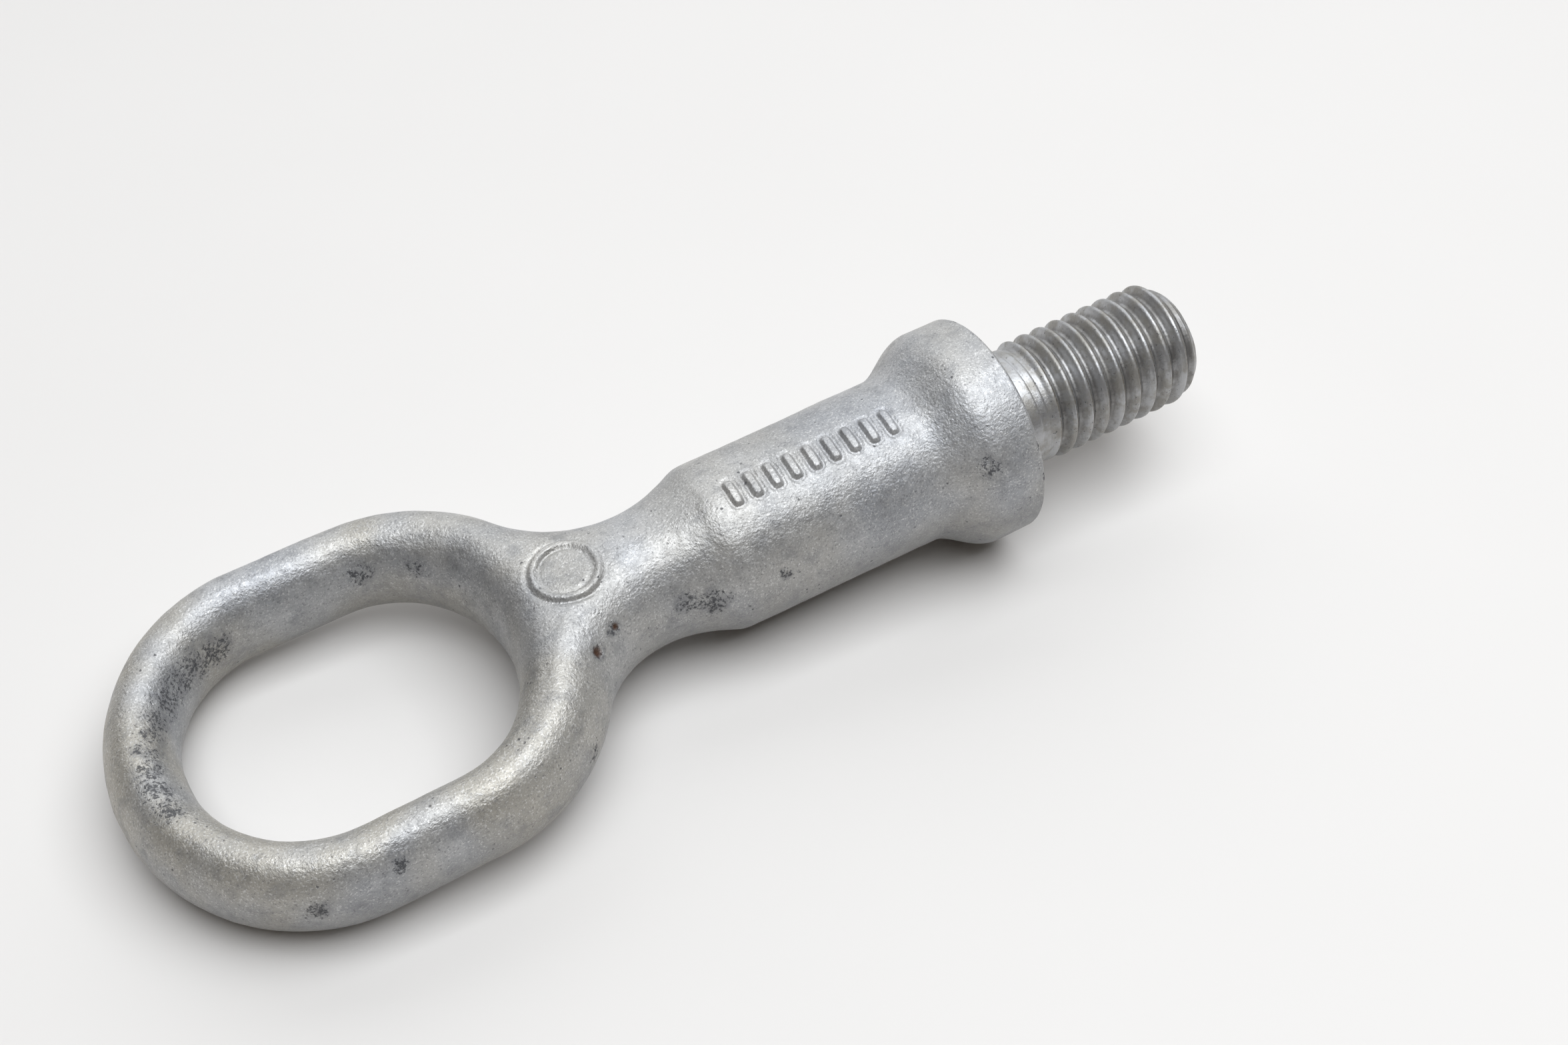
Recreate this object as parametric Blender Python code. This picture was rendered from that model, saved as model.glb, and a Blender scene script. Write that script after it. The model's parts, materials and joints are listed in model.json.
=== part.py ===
"""Screw-in towing eye bolt: a drop-forged oval eye, barrel and collar, and a rolled left-hand shank.

Both solids are modelled about the bolt's own axis. X runs along the axis towards the tip of the
thread, with X = 0 on the collar's end face. Y lies in the plane of the eye, which is also the
forging's parting plane, and Z stands square to it. The parent empty then lays the bolt down on
Z = 0, where it rests on the far end of the eye and on the rim of the collar.

Lengths are in millimetres and become metres when a mesh is made.
"""

import math

import bmesh
import bpy
import numpy as np
from mathutils import Matrix

METRES_PER_MM = 0.001

# Threaded shank
THREAD_DIAMETER = 20.0
THREAD_PITCH = 3.0
THREAD_DEPTH = 1.3
THREAD_CREST_AT = 0.4  # where a crest crosses the +Y side, counted modulo the pitch
SHANK_LENGTH = 35.5
SHANK_NECK_RADIUS = 9.45
RUN_OUT_START = 6.5
RUN_OUT_LENGTH = 2.8
TIP_CHAMFER_LENGTH = 2.2
TIP_RADIUS = 8.0
SEATING_GAP = 0.3

# Collar, flare and barrel
COLLAR_RADIUS = 17.5
COLLAR_LENGTH = 6.3
COLLAR_EDGE = 0.9
FLARE_LENGTH = 9.2
BARREL_RADIUS_AT_FLARE = 13.3
BARREL_RADIUS_AT_NECK = 13.1
BARREL_LENGTH = 32.0

# Neck between the eye and the barrel
NECK_HALF_WIDTH = 10.0
NECK_HALF_DEPTH = 10.6
NECK_LENGTH = 12.8
NECK_INFLECTION = 0.8  # share of the neck's length that curves outwards before it meets the barrel

# Eye: an oval hole with two straight sides, in a bar that is deeper than it is wide
HOLE_HALF_WIDTH = 19.6
HOLE_FAR_END = 17.4  # length of the half ellipse at the end away from the thread
HOLE_NEAR_END = 16.4  # length of the half ellipse next to the neck
HOLE_STRAIGHT = 14.0
BAR_HALF_WIDTH = 5.1
BAR_HALF_DEPTH = 7.9
SHOULDER_RADIUS = 28.2
FORK_FILLET_RADIUS = 16.6
SHOULDER_OFFSET = 1.3  # how far the shoulder's centre lies towards the thread from the hole's near arc

# Generic raised marks: a plain ring on the fork and a row of bars along the barrel
MARK_HEIGHT = 0.5
MARK_ROOT = 1.5  # how deep a mark's solid reaches into the body, so that the two join cleanly
MARK_RING_AT = (-71.5, 0.0)
MARK_RING_RADIUS = 4.8
MARK_RING_HALF_WIDTH = 0.6
MARK_RING_SIDES = 24
MARK_BAR_COUNT = 9
MARK_BAR_SPACING = 3.3
MARK_BAR_FIRST_X = -45.2
MARK_BAR_LENGTH = 4.2
MARK_BAR_WIDTH = 1.3
MARK_BAR_ANGLE = math.radians(99.0)  # from +Y towards +Z

# Mesh density
QUARTER_STEPS = 8
LOOP_STEPS = 26
BAR_STEPS = 8
NECK_STATIONS = 8
FLARE_STATIONS = 8
ARC_POINTS = 48
SHANK_SIDES = 30
STATIONS_PER_PITCH = 8

NECK_X = -(COLLAR_LENGTH + FLARE_LENGTH + BARREL_LENGTH + NECK_LENGTH)
BARREL_NEAR_COLLAR_X = -(COLLAR_LENGTH + FLARE_LENGTH)
EYE_HALF_WIDTH = HOLE_HALF_WIDTH + 2.0 * BAR_HALF_WIDTH


def clear_scene():
    for old in list(bpy.data.objects):
        bpy.data.objects.remove(old, do_unlink=True)


def smooth_step(share):
    share = np.clip(share, 0.0, 1.0)
    return share * share * (3.0 - 2.0 * share)


def edge_round(share):
    """Quarter ellipse: 0 at an edge, rising to 1 one rounding radius away from it."""
    share = np.clip(share, 0.0, 1.0)
    return np.sqrt(1.0 - (1.0 - share) ** 2)


def arc(centre, radii, start, end):
    angle = np.linspace(start, end, ARC_POINTS)
    x = centre[0] + radii[0] * np.cos(angle)
    y = centre[1] + radii[1] * np.sin(angle)
    return np.stack([x, y], axis=1)


def along(line, shares):
    """Points of a polyline at the given shares of its length."""
    steps = np.hypot(*np.diff(line, axis=0).T)
    travelled = np.concatenate([[0.0], np.cumsum(steps)])
    wanted = np.asarray(shares) * travelled[-1]
    x = np.interp(wanted, travelled, line[:, 0])
    y = np.interp(wanted, travelled, line[:, 1])
    return np.stack([x, y], axis=1)


def distance_to(points, line):
    start = line[:-1]
    step = line[1:] - start
    away = points[:, None, :] - start[None]
    share = (away * step).sum(axis=2) / (step * step).sum(axis=1)
    nearest = np.clip(share, 0.0, 1.0)[..., None] * step
    return np.sqrt(((away - nearest) ** 2).sum(axis=2)).min(axis=1)


def eye_plan():
    """The +Y half of the eye's outer and inner outlines, from the thread side to the far end."""
    fillet_y = NECK_HALF_WIDTH + FORK_FILLET_RADIUS
    shoulder_y = EYE_HALF_WIDTH - SHOULDER_RADIUS
    rise = fillet_y - shoulder_y
    reach = math.sqrt((SHOULDER_RADIUS + FORK_FILLET_RADIUS) ** 2 - rise**2)
    shoulder_x = NECK_X - reach
    turn = math.atan2(rise, reach)
    near_arc_x = shoulder_x - SHOULDER_OFFSET
    far_arc_x = near_arc_x - HOLE_STRAIGHT
    half = math.pi / 2.0
    fillet = arc((NECK_X, fillet_y), (FORK_FILLET_RADIUS,) * 2, -half, turn - math.pi)
    shoulder = arc((shoulder_x, shoulder_y), (SHOULDER_RADIUS,) * 2, turn, half)
    far_length = HOLE_FAR_END + 2.0 * BAR_HALF_WIDTH
    far_end = arc((far_arc_x, 0.0), (far_length, EYE_HALF_WIDTH), half, math.pi)
    near_hole = arc((near_arc_x, 0.0), (HOLE_NEAR_END, HOLE_HALF_WIDTH), 0.0, half)
    far_hole = arc((far_arc_x, 0.0), (HOLE_FAR_END, HOLE_HALF_WIDTH), half, math.pi)
    outer = np.vstack([fillet, shoulder[1:], far_end])
    inner = np.vstack([near_hole, far_hole])
    return outer, inner, shoulder_x, far_arc_x


def eye_height(points, outer, inner, shoulder_x):
    """Height of the eye's upper surface above the parting plane."""
    into_neck = smooth_step((points[:, 0] - shoulder_x) / (NECK_X - shoulder_x))
    depth = BAR_HALF_DEPTH + (NECK_HALF_DEPTH - BAR_HALF_DEPTH) * into_neck
    outer_rounding = BAR_HALF_WIDTH + (NECK_HALF_WIDTH - BAR_HALF_WIDTH) * into_neck
    from_outside = edge_round(distance_to(points, outer) / outer_rounding)
    from_hole = edge_round(distance_to(points, inner) / BAR_HALF_WIDTH)
    return depth * from_outside * from_hole


def eye_quarter():
    """Grid of points over one quarter of the eye: rows go round the hole, columns cross the bar."""
    outer, inner, shoulder_x, _ = eye_plan()
    quarter = np.linspace(0.0, math.pi / 2.0, QUARTER_STEPS + 1)
    neck_edge = np.stack([np.full_like(quarter, NECK_X), NECK_HALF_WIDTH * np.sin(quarter)], axis=1)
    outside = np.vstack([neck_edge, along(outer, np.linspace(0.0, 1.0, LOOP_STEPS + 1))[1:]])
    web_share = 0.12  # of the hole's edge, faced by the neck
    web = np.linspace(0.0, web_share, QUARTER_STEPS + 1)
    bar = np.linspace(web_share, 1.0, LOOP_STEPS + 1)[1:]
    inside = along(inner, np.concatenate([web, bar]))
    across = np.linspace(0.0, 1.0, BAR_STEPS + 1)
    round_both = 0.5 - 0.5 * np.cos(math.pi * across)
    round_inside = 1.0 - np.cos(0.5 * math.pi * across)
    rows = []
    for index, (start, end) in enumerate(zip(inside, outside)):
        closed = min(1.0, (index / QUARTER_STEPS) ** 3)
        share = closed * round_both + (1.0 - closed) * round_inside
        rows.append(start + (end - start) * share[:, None])
    plan = np.array(rows)
    height = eye_height(plan.reshape(-1, 2), outer, inner, shoulder_x).reshape(plan.shape[:2])
    height[:, 0] = 0.0
    height[QUARTER_STEPS:, -1] = 0.0
    height[: QUARTER_STEPS + 1, -1] = NECK_HALF_DEPTH * np.cos(quarter)
    return np.dstack([plan, height])


def add_grid(mesh, points, flip, close_around=False):
    """Adds a grid of points as quads; flip turns the faces round."""
    rows = [[mesh.verts.new(METRES_PER_MM * point) for point in row] for row in points]
    columns = len(rows[0])
    last = columns if close_around else columns - 1
    for near, far in zip(rows[:-1], rows[1:]):
        for index in range(last):
            after = (index + 1) % columns
            corners = [near[index], far[index], far[after], near[after]]
            mesh.faces.new(reversed(corners) if flip else corners)
    return rows


def ring(x, half_width, half_depth, sides):
    angle = np.arange(sides) * 2.0 * math.pi / sides
    y = half_width * np.cos(angle)
    z = half_depth * np.sin(angle)
    return np.stack([np.full(sides, x), y, z], axis=1)


def neck_growth(share):
    """0 at the neck and 1 at the barrel: a long hollow curve, then a short full one."""
    if share < NECK_INFLECTION:
        return share * share / NECK_INFLECTION
    return 1.0 - (1.0 - share) ** 2 / (1.0 - NECK_INFLECTION)


def barrel_stations():
    """(x, half width, half depth) from the neck to the collar's end face."""
    stations = []
    for share in np.linspace(0.0, 1.0, NECK_STATIONS + 1):
        grown = neck_growth(share)
        width = NECK_HALF_WIDTH + (BARREL_RADIUS_AT_NECK - NECK_HALF_WIDTH) * grown
        depth = NECK_HALF_DEPTH + (BARREL_RADIUS_AT_NECK - NECK_HALF_DEPTH) * grown
        stations.append((NECK_X + NECK_LENGTH * share, width, depth))
    for share in np.linspace(0.0, 1.0, FLARE_STATIONS + 1):
        grown = smooth_step(share)
        radius = BARREL_RADIUS_AT_FLARE + (COLLAR_RADIUS - BARREL_RADIUS_AT_FLARE) * grown
        stations.append((BARREL_NEAR_COLLAR_X + FLARE_LENGTH * share, radius, radius))
    for angle in np.linspace(0.0, math.pi / 2.0, 4):
        x = -COLLAR_EDGE * (1.0 - math.sin(angle))
        radius = COLLAR_RADIUS - COLLAR_EDGE * (1.0 - math.cos(angle))
        stations.append((x, radius, radius))
    return stations


def finish(mesh, name, material):
    """Turns a bmesh into a smooth-shaded object with sharp edges kept."""
    bmesh.ops.remove_doubles(mesh, verts=mesh.verts, dist=1e-6)
    bmesh.ops.recalc_face_normals(mesh, faces=mesh.faces)
    data = bpy.data.meshes.new(name)
    mesh.to_mesh(data)
    mesh.free()
    data.shade_smooth()
    data.set_sharp_from_angle(angle=math.radians(40.0))
    data.materials.append(material)
    made = bpy.data.objects.new(name, data)
    bpy.context.scene.collection.objects.link(made)
    return made


def join(owner, mesh, name):
    """Joins a mesh to its owner with a Boolean, through a hidden helper object."""
    other = finish(mesh, name, owner.data.materials[0])
    other.hide_render = True
    other.display_type = "WIRE"
    union = owner.modifiers.new("join_" + name, "BOOLEAN")
    union.operation = "UNION"
    union.solver = "EXACT"
    union.object = other
    return other


def raised_ring():
    """A plain raised ring that follows the surface of the fork."""
    outer, inner, shoulder_x, _ = eye_plan()
    turn = np.linspace(0.0, 2.0 * math.pi, MARK_RING_SIDES + 1)
    profile = [(-1.0, -MARK_ROOT), (1.0, -MARK_ROOT), (1.0, 0.0)]
    profile += [(0.5, MARK_HEIGHT), (-0.5, MARK_HEIGHT), (-1.0, 0.0)]
    columns = []
    for across, lift in profile:
        radius = MARK_RING_RADIUS + MARK_RING_HALF_WIDTH * across
        x = MARK_RING_AT[0] + radius * np.cos(turn)
        y = MARK_RING_AT[1] + radius * np.sin(turn)
        floor = eye_height(np.stack([x, np.abs(y)], axis=1), outer, inner, shoulder_x)
        columns.append(np.stack([x, y, floor + lift], axis=1))
    mesh = bmesh.new()
    add_grid(mesh, np.stack(columns, axis=1), False, close_around=True)
    return mesh


def raised_bar(index):
    """One plain raised bar of the row along the barrel."""
    x = MARK_BAR_FIRST_X + MARK_BAR_SPACING * index
    height = MARK_HEIGHT + MARK_ROOT
    radius = BARREL_RADIUS_AT_NECK + MARK_HEIGHT - height / 2.0
    size = Matrix.Diagonal((MARK_BAR_WIDTH, height, MARK_BAR_LENGTH, 1.0))
    place = Matrix.Rotation(MARK_BAR_ANGLE, 4, "X") @ Matrix.Translation((x, radius, 0.0))
    mesh = bmesh.new()
    bmesh.ops.create_cube(mesh, size=1.0, matrix=Matrix.Scale(METRES_PER_MM, 4) @ place @ size)
    return mesh


def forged_eye_body(material):
    """The forging: eye, fork, neck, barrel, flare and collar, in one closed skin."""
    mesh = bmesh.new()
    quarter = eye_quarter()
    for side in (1.0, -1.0):
        for face in (1.0, -1.0):
            add_grid(mesh, quarter * np.array([1.0, side, face]), side * face < 0.0)
    sides = 4 * QUARTER_STEPS
    rows = add_grid(mesh, [ring(*station, sides) for station in barrel_stations()], False, True)
    mesh.faces.new(rows[-1])
    body = finish(mesh, "forged_eye_body", material)
    marks = [join(body, raised_ring(), "raised_ring")]
    for index in range(MARK_BAR_COUNT):
        marks.append(join(body, raised_bar(index), f"raised_bar_{index + 1}"))
    return body, marks


def shank_radius(x, angle):
    """Radius of the left-hand thread, with its run-out next to the collar and its chamfered tip."""
    phase = (x - THREAD_CREST_AT) / THREAD_PITCH + angle / (2.0 * math.pi)
    depth = THREAD_DEPTH * (0.5 - 0.5 * math.cos(2.0 * math.pi * phase))
    threaded = THREAD_DIAMETER / 2.0 - depth
    grown = float(smooth_step((x - RUN_OUT_START) / RUN_OUT_LENGTH))
    radius = SHANK_NECK_RADIUS + (threaded - SHANK_NECK_RADIUS) * grown
    slope = (THREAD_DIAMETER / 2.0 - TIP_RADIUS) / TIP_CHAMFER_LENGTH
    return min(radius, TIP_RADIUS + slope * (SHANK_LENGTH - x))


def threaded_shank(material):
    mesh = bmesh.new()
    plain = [SEATING_GAP, RUN_OUT_START]
    count = math.ceil((SHANK_LENGTH - RUN_OUT_START) / THREAD_PITCH * STATIONS_PER_PITCH)
    threaded = np.linspace(RUN_OUT_START, SHANK_LENGTH, count + 1)[1:]
    rows = []
    for x in [*plain, *threaded]:
        row = []
        for index in range(SHANK_SIDES):
            angle = 2.0 * math.pi * index / SHANK_SIDES
            radius = shank_radius(x, angle)
            row.append(np.array([x, radius * math.cos(angle), radius * math.sin(angle)]))
        rows.append(row)
    made = add_grid(mesh, rows, False, close_around=True)
    mesh.faces.new(made[0])
    mesh.faces.new(made[-1])
    return finish(mesh, "threaded_shank", material)


def steel(name, colour, roughness, metallic):
    material = bpy.data.materials.new(name)
    material.use_nodes = True
    shader = material.node_tree.nodes["Principled BSDF"]
    shader.inputs["Base Color"].default_value = (*colour, 1.0)
    shader.inputs["Roughness"].default_value = roughness
    shader.inputs["Metallic"].default_value = metallic
    return material


def lay_down(pieces, helpers):
    """Parents everything to an empty that rests the bolt on Z = 0, centred on the origin."""
    _, _, _, far_arc_x = eye_plan()
    eye_end_x = far_arc_x - HOLE_FAR_END - BAR_HALF_WIDTH
    span = -COLLAR_LENGTH - eye_end_x
    tilt = math.asin((COLLAR_RADIUS - BAR_HALF_DEPTH) / span)
    turned = Matrix.Rotation(-tilt, 4, "Y")
    corners = [turned @ vertex.co for piece in pieces for vertex in piece.data.vertices]
    middle_x = (min(c.x for c in corners) + max(c.x for c in corners)) / 2.0
    lowest = min(c.z for c in corners)
    axis = bpy.data.objects.new("bolt_axis", None)
    bpy.context.scene.collection.objects.link(axis)
    axis.matrix_world = Matrix.Translation((-middle_x, 0.0, -lowest)) @ turned
    for piece in [*pieces, *helpers]:
        piece.parent = axis


def main():
    clear_scene()
    forged = steel("as_forged_coated_steel", (0.52, 0.52, 0.51), 0.42, 0.85)
    rolled = steel("rolled_thread_steel", (0.46, 0.46, 0.45), 0.3, 0.95)
    body, marks = forged_eye_body(forged)
    shank = threaded_shank(rolled)
    lay_down([body, shank], marks)


main()
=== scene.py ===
"""The looks of the towing eye bolt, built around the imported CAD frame.

The two pieces are modelled about the bolt's own axis: X towards the tip of the thread with X = 0 on
the collar's end face, Y in the plane of the eye, and Z square to it. Lengths in the model functions
are millimetres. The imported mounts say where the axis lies, so nothing is fitted by hand.
"""

import json
import math

import bmesh
import bpy
import numpy as np
from mathutils import Matrix, Quaternion, Vector, noise


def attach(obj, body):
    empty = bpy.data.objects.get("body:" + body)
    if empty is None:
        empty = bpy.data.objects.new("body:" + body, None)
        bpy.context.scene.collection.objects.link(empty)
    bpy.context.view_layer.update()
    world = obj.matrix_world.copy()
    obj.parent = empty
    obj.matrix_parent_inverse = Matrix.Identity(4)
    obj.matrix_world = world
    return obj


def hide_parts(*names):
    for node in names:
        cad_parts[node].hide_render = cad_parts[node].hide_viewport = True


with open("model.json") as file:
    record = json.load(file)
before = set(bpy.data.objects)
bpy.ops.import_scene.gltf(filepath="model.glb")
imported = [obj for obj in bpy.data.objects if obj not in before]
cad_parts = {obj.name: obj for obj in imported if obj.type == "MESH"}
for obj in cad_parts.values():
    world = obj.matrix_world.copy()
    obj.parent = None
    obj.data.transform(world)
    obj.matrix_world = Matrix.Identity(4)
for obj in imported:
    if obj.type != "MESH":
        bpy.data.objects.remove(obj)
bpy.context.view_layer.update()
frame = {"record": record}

METRES_PER_MM = 0.001

# Sizes and places on the bolt, in millimetres about its own axis, as in the CAD model
SEAT_MOUNT_RADIUS = 14.0
COLLAR_RADIUS = 17.5
COLLAR_LENGTH = 6.3
COLLAR_EDGE = 0.7
FLARE_LENGTH = 9.2
BARREL_RADIUS_AT_FLARE = 13.3
BARREL_RADIUS_AT_NECK = 13.1
BARREL_LENGTH = 32.0
NECK_HALF_WIDTH = 10.0
NECK_HALF_DEPTH = 10.6
NECK_LENGTH = 12.8
NECK_INFLECTION = 0.8
HOLE_HALF_WIDTH = 19.6
HOLE_FAR_END = 17.4
HOLE_NEAR_END = 16.4
HOLE_STRAIGHT = 14.0
BAR_HALF_WIDTH = 5.1
BAR_HALF_DEPTH = 7.9
BAR_FULLNESS = 2.0
SHOULDER_RADIUS = 28.2
FORK_FILLET_RADIUS = 16.6
SHOULDER_OFFSET = 1.3
THREAD_RADIUS = 10.0
THREAD_PITCH = 3.0
THREAD_DEPTH = 1.3
THREAD_CREST_AT = 0.4
SHANK_LENGTH = 35.5
SHANK_NECK_RADIUS = 9.45
RUN_OUT_START = 6.5
RUN_OUT_LENGTH = 2.8
TIP_CHAMFER_LENGTH = 2.2
TIP_RADIUS = 8.0

# Where the two meshes overlap behind the collar's end face, out of sight
SHANK_SINKS_INTO_COLLAR = 1.0
COLLAR_FACE_INNER_RADIUS = 8.0

# The web between the hole and the neck, which is fuller and more widely rounded than the bar. It
# grows over a share of the way into the neck, and faces a share of the hole's edge.
WEB_FULLNESS = 2.9
WEB_ROUNDING_GROWTH = 0.45
WEB_GROWS_OVER = 0.25
WEB_SHARE_OF_HOLE_EDGE = 0.12

# Finer shapes on the shank: the seam beside each crest, and the plain neck's fillet and grooves
SEAM_PHASE = 0.13
SEAM_DEPTH = 0.07
SEAM_HALF_WIDTH = 0.14
ROOT_FLATNESS = 0.2
NECK_FILLET_HEIGHT = 0.9
NECK_FILLET_LENGTH = 0.7
NECK_GROOVES_AT = (5.5, 6.9)
NECK_GROOVE_DEPTH = 0.12
NECK_GROOVE_HALF_WIDTH = 0.22
CHAMFER_SOFTNESS = 0.25

# Raised marks: a plain ring on the fork and a row of bars along the barrel
MARK_HEIGHT = 0.5
MARK_EDGE = 0.42
MARK_MOAT = 0.20
MARK_MOAT_WIDTH = 0.3
MARK_RING_X = -71.5
MARK_RING_RADIUS = 4.8
MARK_RING_HALF_WIDTH = 0.5
MARK_BAR_COUNT = 9
MARK_BAR_SPACING = 3.3
MARK_BAR_FIRST_X = -45.2
MARK_BAR_LENGTH = 4.2
MARK_BAR_WIDTH = 1.3
MARK_BAR_CORNER = 0.5
MARK_BAR_ANGLE = math.radians(99.0)
DIE_PAD_X = -44.5
DIE_PAD_ANGLE = math.radians(112.0)
DIE_PAD_HEIGHT = 0.09
DIE_PAD_HALF_LENGTH = 6.5
DIE_PAD_HALF_WIDTH = 4.6
DIE_PAD_CORNER = 2.5
DIE_PAD_EDGE = 1.6

# Unevenness as noise: height, lump size and seed. The collar's end face is machined smooth.
FORGING_UNEVENNESS = [(0.11, 9.0, 3.1), (0.04, 3.2, 11.7), (0.018, 1.1, 5.3), (0.006, 0.6, 17.9)]
SHANK_UNEVENNESS = [(0.03, 3.0, 8.0), (0.012, 1.0, 2.0)]
MACHINED_FROM_X = -0.9
MACHINED_OVER = 0.8
FLASH_HEIGHT = 0.10
FLASH_HALF_WIDTH = 0.55
FLASH_NOISE_SIZE = 4.0
FLASH_NOISE_SEED = 23.0

# Pits: place, radius and depth. The first two have rusted.
PITS = [
    ((-73.2, -12.8, 6.6), 0.75, 0.5),
    ((-69.0, -10.1, 6.5), 0.5, 0.25),
    ((-81.5, -13.8, 8.8), 0.5, 0.2),
    ((-8.8, -13.6, 9.7), 0.6, 0.2),
]
RUSTY_PITS = 2
RUST_SPREAD = 1.5

# Places where the coating is stained: place and radius. A share of each radius is fully soiled.
STAINS = [
    ((-69.5, -10.3, 6.5), 2.0),
    ((-73.2, -12.8, 6.6), 2.1),
    ((-53.5, -10.9, 2.7), 4.0),
    ((-57.5, -9.5, 3.6), 3.0),
    ((-8.6, -14.3, 8.6), 3.2),
    ((-95.8, 19.9, 3.6), 3.2),
    ((-89.0, 15.5, 4.6), 3.0),
    ((-85.1, 8.4, 2.0), 2.0),
    ((-80.1, -23.6, 0.5), 2.4),
    ((-42.5, -12.5, 3.8), 1.7),
    ((-122.1, -27.8, 2.0), 2.6),
    ((-110.7, -28.8, 4.5), 2.2),
]
CORE_SHARE = 0.3

# The band that hooks have rubbed on the inside of the far bend: values at its start and at its end
BAND_SPOTS = 11
BAND_CENTRE_FROM_NECK = 52.5
BAND_ANGLE = (108.0, 198.0)
BAND_REACH = (HOLE_HALF_WIDTH - 0.4, HOLE_HALF_WIDTH + 2.6)
BAND_HEIGHT = (2.6, 7.2)
BAND_RADIUS = (4.6, 3.8)

# Mesh density, and how the work on it is split and welded
QUARTER_STEPS = 72
LOOP_STEPS = 330
BAR_STEPS = 64
ARC_POINTS = 90
NECK_STATIONS = 40
BARREL_STATIONS = 200
FLARE_STATIONS = 40
COLLAR_STATIONS = 20
COLLAR_EDGE_STATIONS = 8
COLLAR_FACE_STATIONS = 18
SHANK_SIDES = 288
SHANK_STEP = 0.12
TIP_RINGS = 20
TIP_CAP_SHARE = 0.12
POINTS_AT_ONCE = 4000
WELD_METRES = 1e-7

# Colours of the coating and what is on it
COATING_COOL = (0.39, 0.40, 0.42, 1.0)
COATING_LIGHT = (0.49, 0.495, 0.505, 1.0)
COATING_YELLOWED = (0.47, 0.44, 0.375, 1.0)
# Pale specks: partly grain, partly painted highlights that stand in for glints
PAINTED_GLINT_GRAIN = (0.80, 0.80, 0.79, 1.0)
GRAIN_SHADE = (0.16, 0.16, 0.17, 1.0)
# Painted shade: a darker colour laid towards the underside of both pieces
PAINTED_UNDERSIDE_SHADE = (0.20, 0.195, 0.185, 1.0)
GRIME = (0.19, 0.195, 0.21, 1.0)
BARE_STEEL = (0.07, 0.072, 0.08, 1.0)
RUST = (0.10, 0.05, 0.03, 1.0)

# Colours of the rolled shank
ROLLED_CLEAN = (0.46, 0.465, 0.475, 1.0)
ROLLED_STAINED = (0.36, 0.35, 0.33, 1.0)
SEAM_DIRT = (0.20, 0.17, 0.13, 1.0)
# Painted shade in the thread's roots
ROOT_PAINTED_SHADE = (0.22, 0.215, 0.21, 1.0)
DARK_SPECK = (0.07, 0.07, 0.08, 1.0)

# The table and the room. The table's half size is in metres.
TABLE_TONES = ((0.735, 0.716, 0.697, 1.0), (0.755, 0.736, 0.717, 1.0))
TABLE_HALF_SIZE = 3.0
ROOM_TINT = (1.0, 0.78, 0.58, 1.0)
ROOM_STRENGTH = 0.06

# Lamps: name, then place, aim and size in metres, power in watts and tint
LAMPS = [
    ("overhead_softbox", (0.15, -0.17, 1.00), (0.15, -0.17, 0.0), (1.3, 0.90), 14.3, (0.94, 0.97, 1.0)),
    ("back_window", (0.45, 1.40, 0.98), (0.0, 0.0, 0.0), (3.0, 1.6), 20.0, (0.95, 0.975, 1.0)),
]

# Camera: the point it looks at and its distance in metres, angles in degrees, lens in millimetres
CAMERA_AIM = (0.0181, 0.0025, 0.010)
CAMERA_AZIMUTH = 33.28
CAMERA_ELEVATION = 48.35
CAMERA_ROLL = 3.86
CAMERA_DISTANCE = 0.3264
CAMERA_LENS = 48.78
CAMERA_SENSOR_WIDTH = 36.0

NECK_X = -(COLLAR_LENGTH + FLARE_LENGTH + BARREL_LENGTH + NECK_LENGTH)
BARREL_START_X = NECK_X + NECK_LENGTH
FLARE_START_X = -(COLLAR_LENGTH + FLARE_LENGTH)
EYE_HALF_WIDTH = HOLE_HALF_WIDTH + 2.0 * BAR_HALF_WIDTH


def bolt_axis():
    """The bolt's own frame in the row frame, read from the collar seat's mount."""
    seat = next(m for m in frame["record"]["mounts"] if m["name"] == "collar_seat")
    along = Vector(seat["axis"]).normalized()
    side = Vector((0.0, 1.0, 0.0))
    up = along.cross(side)
    centre = Vector(seat["pos_m"]) - up * SEAT_MOUNT_RADIUS * METRES_PER_MM
    turned = Matrix((along, side, up)).transposed().to_4x4()
    return Matrix.Translation(centre) @ turned


# ---------------------------------------------------------------- shape of the forging


def smooth_step(share):
    share = np.clip(share, 0.0, 1.0)
    return share * share * (3.0 - 2.0 * share)


def edge_round(share, fullness):
    """0 at an edge, rising to 1 one rounding radius away. Fullness 2 is a quarter ellipse."""
    share = np.clip(share, 0.0, 1.0)
    return np.sqrt(np.maximum(1.0 - (1.0 - share) ** fullness, 0.0))


def arc(centre, radii, start, end):
    angle = np.linspace(start, end, ARC_POINTS)
    x = centre[0] + radii[0] * np.cos(angle)
    y = centre[1] + radii[1] * np.sin(angle)
    return np.stack([x, y], axis=1)


def along_line(line, shares):
    """Points of a polyline at the given shares of its length."""
    steps = np.hypot(*np.diff(line, axis=0).T)
    travelled = np.concatenate([[0.0], np.cumsum(steps)])
    wanted = np.asarray(shares) * travelled[-1]
    x = np.interp(wanted, travelled, line[:, 0])
    y = np.interp(wanted, travelled, line[:, 1])
    return np.stack([x, y], axis=1)


def distance_to(points, line):
    """Distance from each point to the nearest place on a polyline."""
    start = line[:-1]
    step = line[1:] - start
    length = (step * step).sum(axis=1)
    keep = length > 0.0
    start, step, length = start[keep], step[keep], length[keep]
    found = []
    for block in np.array_split(points, max(1, len(points) // POINTS_AT_ONCE)):
        away = block[:, None, :] - start[None]
        share = np.clip((away * step).sum(axis=2) / length, 0.0, 1.0)
        found.append(np.sqrt(((away - share[..., None] * step) ** 2).sum(axis=2)).min(axis=1))
    return np.concatenate(found)


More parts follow.
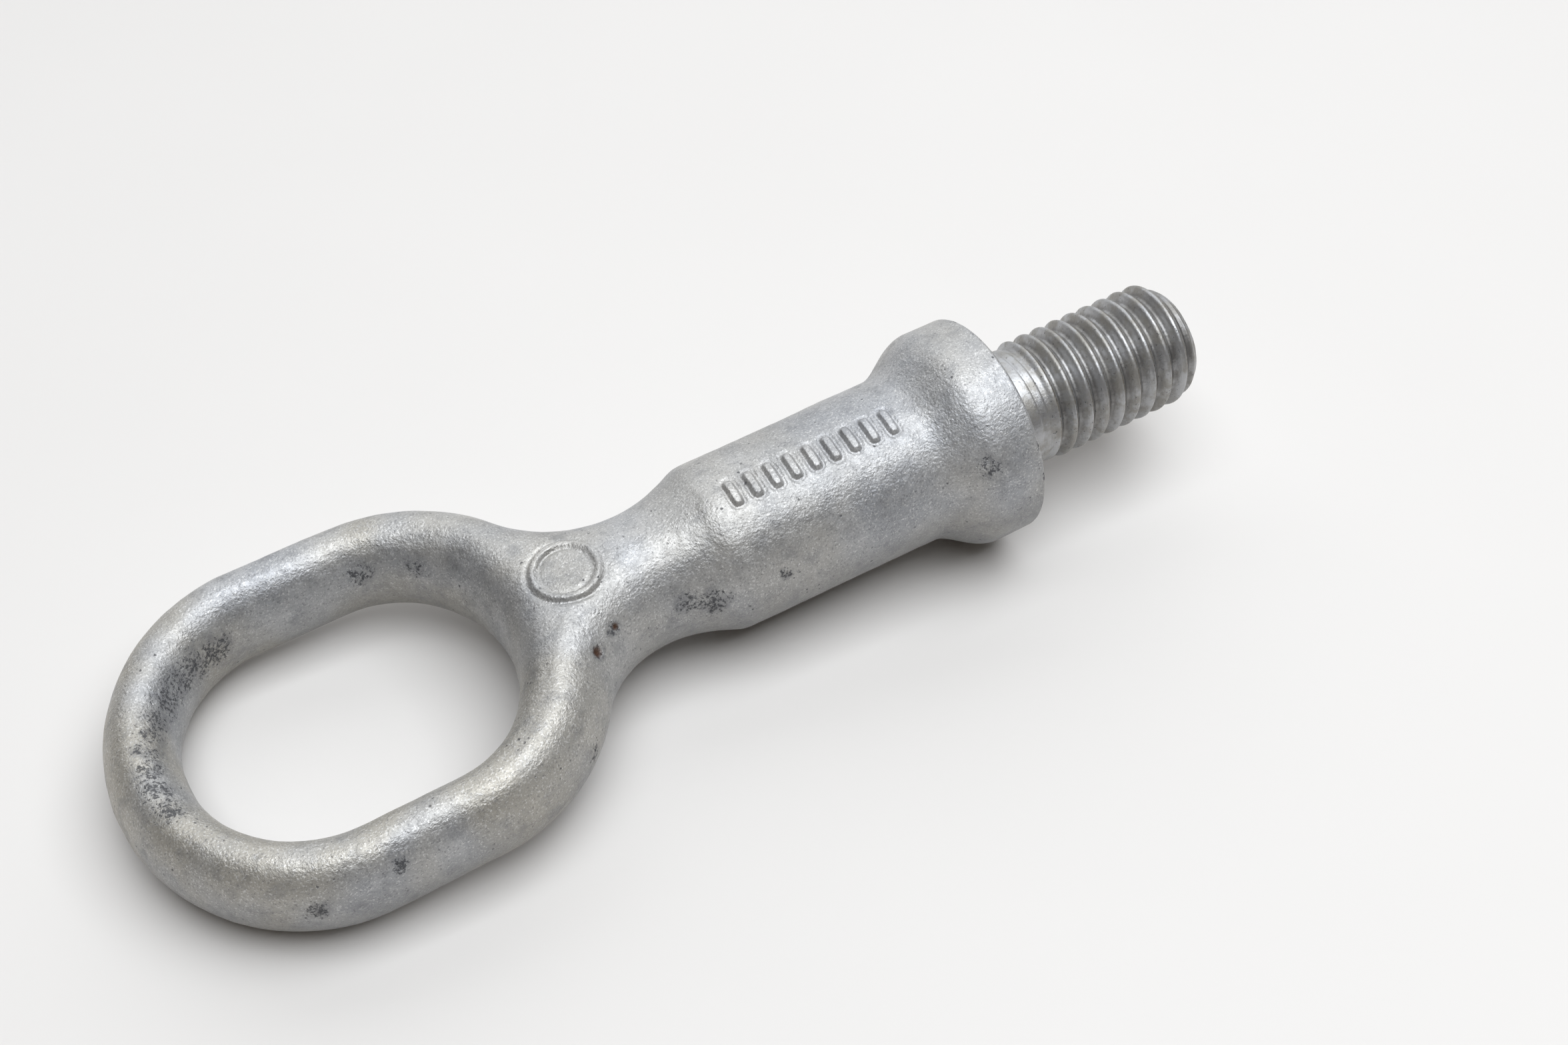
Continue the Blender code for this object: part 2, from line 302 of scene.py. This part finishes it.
def eye_plan():
    """The +Y half of the eye's outer and inner outlines, from the thread side to the far end."""
    fillet_y = NECK_HALF_WIDTH + FORK_FILLET_RADIUS
    shoulder_y = EYE_HALF_WIDTH - SHOULDER_RADIUS
    rise = fillet_y - shoulder_y
    reach = math.sqrt((SHOULDER_RADIUS + FORK_FILLET_RADIUS) ** 2 - rise**2)
    shoulder_x = NECK_X - reach
    turn = math.atan2(rise, reach)
    near_arc_x = shoulder_x - SHOULDER_OFFSET
    far_arc_x = near_arc_x - HOLE_STRAIGHT
    half = math.pi / 2.0
    fillet = arc((NECK_X, fillet_y), (FORK_FILLET_RADIUS,) * 2, -half, turn - math.pi)
    shoulder = arc((shoulder_x, shoulder_y), (SHOULDER_RADIUS,) * 2, turn, half)
    far_length = HOLE_FAR_END + 2.0 * BAR_HALF_WIDTH
    far_end = arc((far_arc_x, 0.0), (far_length, EYE_HALF_WIDTH), half, math.pi)
    near_hole = arc((near_arc_x, 0.0), (HOLE_NEAR_END, HOLE_HALF_WIDTH), 0.0, half)
    far_hole = arc((far_arc_x, 0.0), (HOLE_FAR_END, HOLE_HALF_WIDTH), half, math.pi)
    outer = np.vstack([fillet, shoulder[1:], far_end])
    inner = np.vstack([near_hole, far_hole])
    return outer, inner, shoulder_x


def eye_height(points, outer, inner, shoulder_x):
    """Height of the eye's upper surface above the parting plane."""
    into_neck = smooth_step((points[:, 0] - shoulder_x) / (NECK_X - shoulder_x))
    depth = BAR_HALF_DEPTH + (NECK_HALF_DEPTH - BAR_HALF_DEPTH) * into_neck
    outer_rounding = BAR_HALF_WIDTH + (NECK_HALF_WIDTH - BAR_HALF_WIDTH) * into_neck
    web = smooth_step(into_neck / WEB_GROWS_OVER)
    inner_rounding = BAR_HALF_WIDTH * (1.0 + WEB_ROUNDING_GROWTH * web)
    fullness = BAR_FULLNESS + (WEB_FULLNESS - BAR_FULLNESS) * web
    from_outside = edge_round(distance_to(points, outer) / outer_rounding, BAR_FULLNESS)
    from_hole = edge_round(distance_to(points, inner) / inner_rounding, fullness)
    return depth * from_outside * from_hole


def eye_quarter():
    """Grid of points over one quarter of the eye: rows go round the hole, columns cross the bar."""
    outer, inner, shoulder_x = eye_plan()
    quarter = np.linspace(0.0, math.pi / 2.0, QUARTER_STEPS + 1)
    neck_edge = np.stack([np.full_like(quarter, NECK_X), NECK_HALF_WIDTH * np.sin(quarter)], axis=1)
    outside = np.vstack([neck_edge, along_line(outer, np.linspace(0.0, 1.0, LOOP_STEPS + 1))[1:]])
    web = np.linspace(0.0, WEB_SHARE_OF_HOLE_EDGE, QUARTER_STEPS + 1)
    bar = np.linspace(WEB_SHARE_OF_HOLE_EDGE, 1.0, LOOP_STEPS + 1)[1:]
    inside = along_line(inner, np.concatenate([web, bar]))
    across = np.linspace(0.0, 1.0, BAR_STEPS + 1)
    round_both = 0.5 - 0.5 * np.cos(math.pi * across)
    round_inside = 1.0 - np.cos(0.5 * math.pi * across)
    rows = []
    for index, (start, end) in enumerate(zip(inside, outside)):
        closed = min(1.0, (index / QUARTER_STEPS) ** 3)
        share = closed * round_both + (1.0 - closed) * round_inside
        rows.append(start + (end - start) * share[:, None])
    plan = np.array(rows)
    height = eye_height(plan.reshape(-1, 2), outer, inner, shoulder_x).reshape(plan.shape[:2])
    height[:, 0] = 0.0
    height[QUARTER_STEPS:, -1] = 0.0
    height[: QUARTER_STEPS + 1, -1] = NECK_HALF_DEPTH * np.cos(quarter)
    return np.dstack([plan, height])


def neck_growth(share):
    """0 at the neck and 1 at the barrel: a long hollow curve, then a short full one."""
    if share < NECK_INFLECTION:
        return share * share / NECK_INFLECTION
    return 1.0 - (1.0 - share) ** 2 / (1.0 - NECK_INFLECTION)


def between(start, end, share):
    return start + (end - start) * share


def barrel_stations():
    """(x, half width, half depth) from the neck to the collar's end face."""
    stations = []
    for share in np.linspace(0.0, 1.0, NECK_STATIONS):
        grown = neck_growth(share)
        width = between(NECK_HALF_WIDTH, BARREL_RADIUS_AT_NECK, grown)
        depth = between(NECK_HALF_DEPTH, BARREL_RADIUS_AT_NECK, grown)
        stations.append((NECK_X + NECK_LENGTH * share, width, depth))
    for share in np.linspace(0.0, 1.0, BARREL_STATIONS)[1:-1]:
        radius = between(BARREL_RADIUS_AT_NECK, BARREL_RADIUS_AT_FLARE, share)
        stations.append((BARREL_START_X + BARREL_LENGTH * share, radius, radius))
    for share in np.linspace(0.0, 1.0, FLARE_STATIONS):
        radius = between(BARREL_RADIUS_AT_FLARE, COLLAR_RADIUS, smooth_step(share))
        stations.append((FLARE_START_X + FLARE_LENGTH * share, radius, radius))
    for share in np.linspace(0.0, 1.0, COLLAR_STATIONS)[1:-1]:
        stations.append((between(-COLLAR_LENGTH, -COLLAR_EDGE, share), COLLAR_RADIUS, COLLAR_RADIUS))
    for angle in np.linspace(0.0, math.pi / 2.0, COLLAR_EDGE_STATIONS):
        radius = COLLAR_RADIUS - COLLAR_EDGE * (1.0 - math.cos(angle))
        stations.append((-COLLAR_EDGE * (1.0 - math.sin(angle)), radius, radius))
    face = np.linspace(COLLAR_RADIUS - COLLAR_EDGE, COLLAR_FACE_INNER_RADIUS, COLLAR_FACE_STATIONS)
    stations += [(0.0, radius, radius) for radius in face[1:]]
    return stations


def grid_faces(rows, columns, close_around, flip):
    """Quads between neighbouring points of a grid, as indices."""
    index = np.arange(rows * columns).reshape(rows, columns)
    after = np.roll(index, -1, axis=1) if close_around else index[:, 1:]
    before = index if close_around else index[:, :-1]
    quads = np.stack([before[:-1], before[1:], after[1:], after[:-1]], axis=-1).reshape(-1, 4)
    return quads[:, ::-1] if flip else quads


def make_object(name, grids, caps):
    """One closed, smooth-shaded object from (points, close_around, flip) grids, welded together."""
    points, faces, start = [], [], 0
    for grid, close_around, flip in grids:
        rows, columns = grid.shape[:2]
        faces.extend((grid_faces(rows, columns, close_around, flip) + start).tolist())
        points.append(grid.reshape(-1, 3))
        start += rows * columns
    faces.extend(caps)
    data = bpy.data.meshes.new(name)
    data.from_pydata((np.concatenate(points) * METRES_PER_MM).tolist(), [], faces)
    mesh = bmesh.new()
    mesh.from_mesh(data)
    bmesh.ops.remove_doubles(mesh, verts=mesh.verts, dist=WELD_METRES)
    bmesh.ops.recalc_face_normals(mesh, faces=mesh.faces)
    mesh.to_mesh(data)
    mesh.free()
    data.shade_smooth()
    made = bpy.data.objects.new(name, data)
    bpy.context.scene.collection.objects.link(made)
    return made


def read_mesh(data):
    """Points in millimetres, and their normals."""
    count = len(data.vertices)
    points = np.empty(count * 3)
    normals = np.empty(count * 3)
    data.vertices.foreach_get("co", points)
    data.vertex_normals.foreach_get("vector", normals)
    return points.reshape(-1, 3) / METRES_PER_MM, normals.reshape(-1, 3)


def noise_at(points, size, seed):
    """Smooth noise between -1 and 1 whose lumps are about `size` millimetres across."""
    moved = points / size + seed
    return np.array([noise.noise(Vector(point)) for point in moved.tolist()])


def unevenness(points, layers):
    return sum(height * noise_at(points, size, seed) for height, size, seed in layers)


def displace(piece, points, normals, lift):
    """Moves each point along its normal by its lift in millimetres."""
    moved = (points + normals * lift[:, None]) * METRES_PER_MM
    piece.data.vertices.foreach_set("co", moved.ravel())
    piece.data.update()


def stamped(outside):
    """Height of a mark whose edge is `outside` millimetres away, with a shallow moat round it."""
    top = 1.0 - smooth_step(outside / MARK_EDGE + 0.5)
    moat = np.exp(-(((outside - MARK_EDGE) / MARK_MOAT_WIDTH) ** 2))
    return MARK_HEIGHT * top - MARK_MOAT * moat


def box_distance(x, y, half_x, half_y, corner):
    """Distance outside a rectangle with rounded corners, below zero inside it."""
    x = np.maximum(np.abs(x) - half_x + corner, 0.0)
    y = np.maximum(np.abs(y) - half_y + corner, 0.0)
    return np.hypot(x, y) - corner


def ring_mark(points):
    across = np.abs(np.hypot(points[:, 0] - MARK_RING_X, points[:, 1]) - MARK_RING_RADIUS)
    return stamped(across - MARK_RING_HALF_WIDTH)


def round_barrel(points, angle):
    """Distance round the barrel from a line at this angle, in millimetres."""
    radius = np.hypot(points[:, 1], points[:, 2])
    return (np.arctan2(points[:, 2], points[:, 1]) - angle) * radius


def bar_marks(points):
    step = np.round((points[:, 0] - MARK_BAR_FIRST_X) / MARK_BAR_SPACING)
    step = np.clip(step, 0, MARK_BAR_COUNT - 1)
    lengthways = points[:, 0] - MARK_BAR_FIRST_X - MARK_BAR_SPACING * step
    sideways = round_barrel(points, MARK_BAR_ANGLE)
    half_width, half_length = MARK_BAR_WIDTH / 2.0, MARK_BAR_LENGTH / 2.0
    return stamped(box_distance(lengthways, sideways, half_width, half_length, MARK_BAR_CORNER))


def die_pad(points):
    """The faint flat that the die's insert leaves beside the row of bars."""
    lengthways = points[:, 0] - DIE_PAD_X
    sideways = round_barrel(points, DIE_PAD_ANGLE)
    half_length, half_width = DIE_PAD_HALF_LENGTH, DIE_PAD_HALF_WIDTH
    outside = box_distance(lengthways, sideways, half_length, half_width, DIE_PAD_CORNER)
    return DIE_PAD_HEIGHT * (1.0 - smooth_step(outside / DIE_PAD_EDGE + 0.5))


def pits(points):
    """Depth of the rust pits."""
    depth = np.zeros(len(points))
    for place, radius, deepest in PITS:
        away = np.sqrt(((points - np.array(place)) ** 2).sum(axis=1)) / radius
        depth += deepest * np.exp(-(away**2))
    return depth


def roughen_forging(piece):
    """Raised marks, forging unevenness, parting line and pits, as real displacement."""
    points, normals = read_mesh(piece.data)
    machined = smooth_step((points[:, 0] - MACHINED_FROM_X) / MACHINED_OVER)
    upper = points[:, 2] > 0.0
    marks = (ring_mark(points) + bar_marks(points) + die_pad(points)) * upper
    flash = np.exp(-((points[:, 2] / FLASH_HALF_WIDTH) ** 2)) * (points[:, 0] < BARREL_START_X)
    flash *= FLASH_HEIGHT * (1.0 + noise_at(points, FLASH_NOISE_SIZE, FLASH_NOISE_SEED))
    as_forged = (unevenness(points, FORGING_UNEVENNESS) + flash) * (1.0 - machined)
    displace(piece, points, normals, marks + as_forged - pits(points))


def lay_down(piece, axis):
    """Moves the mesh from the bolt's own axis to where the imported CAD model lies."""
    piece.data.transform(axis)
    piece.data.update()


def forging(axis):
    quarter = eye_quarter()
    grids = []
    for side in (1.0, -1.0):
        for face in (1.0, -1.0):
            grids.append((quarter * np.array([1.0, side, face]), False, side * face < 0.0))
    stations = np.array(barrel_stations())
    angle = np.arange(4 * QUARTER_STEPS) * math.pi / (2 * QUARTER_STEPS)
    x = np.repeat(stations[:, :1], len(angle), axis=1)
    y = stations[:, 1:2] * np.cos(angle)
    z = stations[:, 2:3] * np.sin(angle)
    grids.append((np.dstack([x, y, z]), True, False))
    total = sum(grid.shape[0] * grid.shape[1] for grid, _, _ in grids)
    cap = list(range(total - len(angle), total))
    piece = make_object("forging_with_eye", grids, [cap])
    roughen_forging(piece)
    lay_down(piece, axis)
    return piece


# ---------------------------------------------------------------- shape of the shank


def thread_wave(phase):
    """0 on a rounded crest and 1 in a wide, round root, with a rolling seam beside the crest."""
    wave = 0.5 - 0.5 * np.cos(2.0 * math.pi * phase)
    beside = phase - SEAM_PHASE
    away = (beside - np.round(beside)) * THREAD_PITCH
    seam = SEAM_DEPTH * np.exp(-((away / SEAM_HALF_WIDTH) ** 2))
    return (1.0 - ROOT_FLATNESS) * wave + ROOT_FLATNESS * smooth_step(wave) + seam


def shank_radius(x, angle):
    """Radius of the left-hand thread, with its run-out next to the collar and its chamfered tip."""
    phase = (x - THREAD_CREST_AT) / THREAD_PITCH + angle / (2.0 * math.pi)
    threaded = THREAD_RADIUS - THREAD_DEPTH * thread_wave(phase)
    grown = smooth_step((x - RUN_OUT_START) / RUN_OUT_LENGTH)
    plain = SHANK_NECK_RADIUS + NECK_FILLET_HEIGHT * np.exp(-x / NECK_FILLET_LENGTH)
    for groove in NECK_GROOVES_AT:
        plain = plain - NECK_GROOVE_DEPTH * np.exp(-(((x - groove) / NECK_GROOVE_HALF_WIDTH) ** 2))
    radius = plain + (threaded - plain) * grown
    slope = (THREAD_RADIUS - TIP_RADIUS) / TIP_CHAMFER_LENGTH
    chamfer = TIP_RADIUS + slope * (SHANK_LENGTH - x)
    return -CHAMFER_SOFTNESS * np.logaddexp(-radius / CHAMFER_SOFTNESS, -chamfer / CHAMFER_SOFTNESS)


def shank(axis):
    x = np.arange(-SHANK_SINKS_INTO_COLLAR, SHANK_LENGTH, SHANK_STEP)
    x = np.append(x, SHANK_LENGTH)
    angle = np.arange(SHANK_SIDES) * 2.0 * math.pi / SHANK_SIDES
    x, angle = np.meshgrid(x, angle, indexing="ij")
    radius = shank_radius(x, angle)
    side = np.dstack([x, radius * np.cos(angle), radius * np.sin(angle)])
    shares = np.linspace(1.0, TIP_CAP_SHARE, TIP_RINGS)[1:, None]
    tip = [np.full((len(shares), SHANK_SIDES), SHANK_LENGTH)]
    tip += [side[-1, :, column] * shares for column in (1, 2)]
    grid = np.concatenate([side, np.dstack(tip)])
    total = grid.shape[0] * SHANK_SIDES
    caps = [list(range(SHANK_SIDES)), list(range(total - SHANK_SIDES, total))]
    piece = make_object("rolled_shank", [(grid, True, False)], caps)
    points, normals = read_mesh(piece.data)
    displace(piece, points, normals, unevenness(points, SHANK_UNEVENNESS))
    lay_down(piece, axis)
    return piece


# ---------------------------------------------------------------- materials
#
# The numbers that follow are the material itself: sizes of noise in millimetres, then its detail and
# roughness; the range of a noise or a place that is remapped, then what it becomes; depths of bumps.


class Shader:
    """Builds a node material round one Principled shader, with places in millimetres on the bolt."""

    def __init__(self, name, axis):
        self.material = bpy.data.materials.new(name)
        self.material.use_nodes = True
        self.tree = self.material.node_tree
        self.surface = self.tree.nodes["Principled BSDF"]
        place = {"Vector": self.tree.nodes.new("ShaderNodeTexCoord").outputs["Object"]}
        place["Location"] = axis.to_translation()
        place["Rotation"] = axis.to_euler()
        place["Scale"] = (METRES_PER_MM,) * 3
        self.place = self.add("ShaderNodeMapping", place, vector_type="TEXTURE").outputs["Vector"]

    def feed(self, socket, value):
        if isinstance(value, bpy.types.NodeSocket):
            self.tree.links.new(value, socket)
        else:
            socket.default_value = value

    def add(self, kind, inputs, **settings):
        node = self.tree.nodes.new(kind)
        for key, value in settings.items():
            setattr(node, key, value)
        for key, value in inputs.items():
            self.feed(node.inputs[key], value)
        return node

    def noise(self, size_mm, detail=2.0, roughness=0.5):
        inputs = {"Vector": self.place, "Scale": 1.0 / size_mm}
        inputs.update({"Detail": detail, "Roughness": roughness})
        return self.add("ShaderNodeTexNoise", inputs).outputs["Fac"]

    def cells(self, size_mm):
        """Distance to the nearest of scattered points, as a share of their spacing."""
        inputs = {"Vector": self.place, "Scale": 1.0 / size_mm}
        return self.add("ShaderNodeTexVoronoi", inputs).outputs["Distance"]

    def remap(self, value, low, high, low_out=0.0, high_out=1.0):
        """Moves smoothly from `low_out` to `high_out` as the value goes from `low` to `high`."""
        inputs = {"Value": value, "From Min": low, "From Max": high}
        inputs.update({"To Min": low_out, "To Max": high_out})
        return self.add("ShaderNodeMapRange", inputs, interpolation_type="SMOOTHSTEP").outputs["Result"]

    def maths(self, operation, first, second=0.0):
        node = self.add("ShaderNodeMath", {}, operation=operation)
        self.feed(node.inputs[0], first)
        self.feed(node.inputs[1], second)
        return node.outputs["Value"]

    def blend(self, share, first, second):
        """The first colour at share 0 and the second at share 1."""
        node = self.add("ShaderNodeMix", {"Factor": share}, data_type="RGBA")
        sockets = {socket.identifier: socket for socket in [*node.inputs, *node.outputs]}
        self.feed(sockets["A_Color"], first)
        self.feed(sockets["B_Color"], second)
        return sockets["Result_Color"]

    def bump(self, height, depth_mm, below=None):
        inputs = {"Height": height, "Distance": depth_mm * METRES_PER_MM, "Strength": 1.0}
        if below is not None:
            inputs["Normal"] = below
        return self.add("ShaderNodeBump", inputs).outputs["Normal"]

    def near(self, point, radius_mm):
        """1 round a point on the bolt, falling to 0 at the radius."""
        away = self.add("ShaderNodeVectorMath", {}, operation="DISTANCE")
        self.feed(away.inputs[0], self.place)
        self.feed(away.inputs[1], point)
        return self.remap(away.outputs["Value"], CORE_SHARE * radius_mm, radius_mm, 1.0, 0.0)

    def near_any(self, spots):
        """1 round any of these (point, radius) spots, falling to 0 at their radii."""
        nearness = 0.0
        for point, radius in spots:
            nearness = self.maths("MAXIMUM", nearness, self.near(point, radius))
        return nearness

    def centred(self, size_mm, detail, roughness, reach):
        """Noise moved to lie round 0 and scaled by `reach`."""
        around = self.maths("SUBTRACT", self.noise(size_mm, detail, roughness), 0.5)
        return self.maths("MULTIPLY", around, reach)

    def axes(self):
        parts = self.add("ShaderNodeSeparateXYZ", {"Vector": self.place}).outputs
        return parts["X"], parts["Y"], parts["Z"]


def scuffed_band():
    """Spots along the band where hooks have rubbed the inside of the far bend."""
    spots = []
    for share in np.linspace(0.0, 1.0, BAND_SPOTS).tolist():
        angle = math.radians(between(*BAND_ANGLE, share))
        reach = between(*BAND_REACH, share)
        x = NECK_X - BAND_CENTRE_FROM_NECK + reach * math.cos(angle)
        point = (x, reach * math.sin(angle), between(*BAND_HEIGHT, share))
        spots.append((point, between(*BAND_RADIUS, share)))
    return spots


def soiled_zones(s):
    """1 in the stained places and along the rubbed band, falling to 0 round them."""
    return s.maths("MAXIMUM", s.near_any(STAINS), s.near_any(scuffed_band()))


def pits_all_over(s):
    """Tiny dark pits with uneven rims, only where a larger noise says that the surface is dirty."""
    dirty = s.remap(s.noise(5.0, 2.0), 0.46, 0.60)
    from_centre = s.maths("ADD", s.cells(1.7), s.centred(0.35, 2.0, 0.5, 0.3))
    return s.maths("MULTIPLY", s.remap(from_centre, 0.05, 0.15, 0.75, 0.0), dirty)


def ragged_patches(s, zones):
    """Bare patches with torn edges inside the soiled zones."""
    torn = s.maths("ADD", s.centred(0.50, 4.0, 0.7, 4.6), s.centred(1.9, 2.0, 0.5, 1.4))
    patches = s.remap(s.maths("ADD", zones, torn), 0.72, 1.45, 0.0, 0.85)
    return s.maths("MULTIPLY", patches, s.remap(zones, 0.0, 0.25))


def chipped_rim(s):
    """Chips along the rim between the collar's edge and its end face."""
    x = s.axes()[0]
    from_rim = s.maths("ABSOLUTE", s.maths("ADD", x, 0.25))
    at_rim = s.remap(from_rim, 0.1, 0.4, 1.0, 0.0)
    return s.maths("MULTIPLY", at_rim, s.remap(s.noise(2.4, 3.0, 0.6), 0.56, 0.62))


def coating_damage(s, zones):
    """Share of bare, dark steel: pits all over, patches in the soiled zones and chips on the rim."""
    scattered = s.maths("MAXIMUM", pits_all_over(s), ragged_patches(s, zones))
    return s.maths("MAXIMUM", scattered, chipped_rim(s))


def coating_tone(s):
    """Colour of the coating before it is soiled: cool grey, yellowed towards the eye, with grain,
    painted glints and painted shade towards the underside.
    """
    tone = s.blend(s.remap(s.noise(8.0, 3.0, 0.6), 0.35, 0.65), COATING_COOL, COATING_LIGHT)
    x, _, z = s.axes()
    yellowed = s.remap(x, -100.0, -60.0, 0.75, 0.35)
    warm = s.maths("MULTIPLY", s.remap(s.noise(19.0, 2.0), 0.38, 0.62), yellowed)
    tone = s.blend(warm, tone, COATING_YELLOWED)
    # Pale specks: partly grain, partly painted highlights that stand in for glints
    grain_with_painted_glints = s.remap(s.noise(0.30, 2.0, 0.6), 0.52, 0.70, 0.0, 0.6)
    tone = s.blend(grain_with_painted_glints, tone, PAINTED_GLINT_GRAIN)
    dark_grain = s.remap(s.noise(0.34, 3.0, 0.6), 0.30, 0.46, 0.55, 0.0)
    tone = s.blend(dark_grain, tone, GRAIN_SHADE)
    # Painted shade: the coating darkens towards its underside
    painted_shade_below = s.remap(z, -4.0, 5.0, 0.5, 0.0)
    return s.blend(painted_shade_below, tone, PAINTED_UNDERSIDE_SHADE)


def forged_finish(axis):
    s = Shader("forged_coated_steel", axis)
    tone = coating_tone(s)
    zones = soiled_zones(s)
    blotches = s.remap(s.noise(2.4, 4.0, 0.6), 0.38, 0.62)
    grime = s.maths("MULTIPLY", s.remap(zones, 0.0, 0.8), blotches)
    smears = s.remap(s.noise(3.4, 5.0, 0.65), 0.48, 0.70, 0.0, 0.38)
    soiled = s.maths("MAXIMUM", s.maths("MULTIPLY", grime, 0.5), smears)
    tone = s.blend(soiled, tone, GRIME)
    bare = coating_damage(s, zones)
    tone = s.blend(bare, tone, BARE_STEEL)
    rust = s.near_any([(place, radius * RUST_SPREAD) for place, radius, _ in PITS[:RUSTY_PITS]])
    tone = s.blend(rust, tone, RUST)
    s.feed(s.surface.inputs["Base Color"], tone)
    s.surface.inputs["Metallic"].default_value = 0.65
    rough = s.remap(s.noise(1.3, 3.0, 0.6), 0.3, 0.7, 0.42, 0.56)
    s.feed(s.surface.inputs["Roughness"], s.maths("ADD", rough, s.maths("MULTIPLY", bare, 0.2)))
    fine = s.bump(s.noise(0.20, 1.0), 0.03)
    grain = s.bump(s.noise(0.42, 2.0), 0.10, fine)
    lumps = s.bump(s.noise(1.2, 2.0), 0.10, grain)
    s.feed(s.surface.inputs["Normal"], s.bump(bare, -0.06, lumps))
    return s.material


def rolled_finish(axis):
    s = Shader("rolled_thread_steel", axis)
    x, y, z = s.axes()
    turn = s.maths("DIVIDE", s.maths("ARCTAN2", z, y), 2.0 * math.pi)
    along = s.maths("DIVIDE", s.maths("SUBTRACT", x, THREAD_CREST_AT), THREAD_PITCH)
    phase = s.maths("ADD", along, turn)

    def from_phase(share):
        """Distance along the bolt from this share of the thread's turn, as a share of the pitch."""
        return s.maths("PINGPONG", s.maths("SUBTRACT", phase, share), 0.5)

    threaded = s.remap(x, RUN_OUT_START, RUN_OUT_START + RUN_OUT_LENGTH)
    stains = s.noise(3.0, 4.0, 0.65)
    tone = s.blend(s.remap(stains, 0.40, 0.62), ROLLED_CLEAN, ROLLED_STAINED)
    # Painted shade: the shank's colour darkens towards its underside
    tone = s.blend(s.remap(z, -6.0, 3.0, 0.35, 0.0), tone, PAINTED_UNDERSIDE_SHADE)
    seam = s.remap(from_phase(SEAM_PHASE), 0.03, 0.09, 1.0, 0.0)
    dotted = s.remap(s.noise(0.3, 2.0), 0.36, 0.56, 0.25, 1.0)
    seam = s.maths("MULTIPLY", s.maths("MULTIPLY", seam, dotted), threaded)
    tone = s.blend(s.maths("MULTIPLY", seam, 0.75), tone, SEAM_DIRT)
    # Painted shade: the thread's roots are darkened, unevenly along them by a noise
    root = s.remap(from_phase(0.5), 0.10, 0.26, 1.0, 0.0)
    root = s.maths("MULTIPLY", root, s.remap(s.noise(2.2, 4.0, 0.6), 0.35, 0.60, 0.35, 0.95))
    tone = s.blend(s.maths("MULTIPLY", root, threaded), tone, ROOT_PAINTED_SHADE)
    specks = s.remap(s.noise(0.6, 3.0, 0.7), 0.62, 0.70, 0.0, 0.7)
    tone = s.blend(specks, tone, DARK_SPECK)
    s.feed(s.surface.inputs["Base Color"], tone)
    s.surface.inputs["Metallic"].default_value = 0.85
    s.feed(s.surface.inputs["Roughness"], s.remap(stains, 0.35, 0.65, 0.40, 0.54))
    s.feed(s.surface.inputs["Normal"], s.bump(s.noise(0.4, 2.0), 0.05, s.bump(seam, 0.06)))
    return s.material


def floor_finish():
    s = Shader("pale_table", Matrix.Identity(4))
    s.feed(s.surface.inputs["Base Color"], s.blend(s.noise(60.0, 2.0), *TABLE_TONES))
    s.surface.inputs["Roughness"].default_value = 0.55
    return s.material


# ---------------------------------------------------------------- stage, light and camera


def floor():
    half = TABLE_HALF_SIZE
    corners = [(-half, -half, 0.0), (half, -half, 0.0), (half, half, 0.0), (-half, half, 0.0)]
    data = bpy.data.meshes.new("table_top")
    data.from_pydata(corners, [], [(0, 1, 2, 3)])
    made = bpy.data.objects.new("table_top", data)
    bpy.context.scene.collection.objects.link(made)
    made.data.materials.append(floor_finish())


def area_light(name, place, aim, size, power, tint):
    data = bpy.data.lights.new(name, "AREA")
    data.shape = "RECTANGLE"
    data.size, data.size_y = size
    data.energy = power
    data.color = tint
    made = bpy.data.objects.new(name, data)
    bpy.context.scene.collection.objects.link(made)
    made.location = place
    made.rotation_euler = (Vector(aim) - Vector(place)).to_track_quat("-Z", "Y").to_euler()


def lighting():
    for lamp in LAMPS:
        area_light(*lamp)
    world = bpy.data.worlds.new("studio")
    bpy.context.scene.world = world
    world.use_nodes = True
    background = world.node_tree.nodes["Background"]
    background.inputs["Color"].default_value = ROOM_TINT
    background.inputs["Strength"].default_value = ROOM_STRENGTH


def camera():
    azimuth = math.radians(CAMERA_AZIMUTH)
    elevation = math.radians(CAMERA_ELEVATION)
    level = math.cos(elevation)
    forward = Vector((math.sin(azimuth) * level, math.cos(azimuth) * level, -math.sin(elevation)))
    data = bpy.data.cameras.new("photo_view")
    data.lens = CAMERA_LENS
    data.sensor_width = CAMERA_SENSOR_WIDTH
    made = bpy.data.objects.new("photo_view", data)
    bpy.context.scene.collection.objects.link(made)
    made.location = Vector(CAMERA_AIM) - forward * CAMERA_DISTANCE
    made.rotation_mode = "QUATERNION"
    roll = Quaternion((0.0, 0.0, 1.0), math.radians(CAMERA_ROLL))
    made.rotation_quaternion = forward.to_track_quat("-Z", "Y") @ roll
    bpy.context.scene.camera = made


def dress(piece, node, material):
    piece.data.materials.append(material)
    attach(piece, "root")
    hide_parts(node)


def main():
    bpy.context.scene.view_settings.view_transform = "Standard"
    axis = bolt_axis()
    dress(forging(axis), "forged_eye_body", forged_finish(axis))
    dress(shank(axis), "threaded_shank", rolled_finish(axis))
    floor()
    lighting()
    camera()


main()
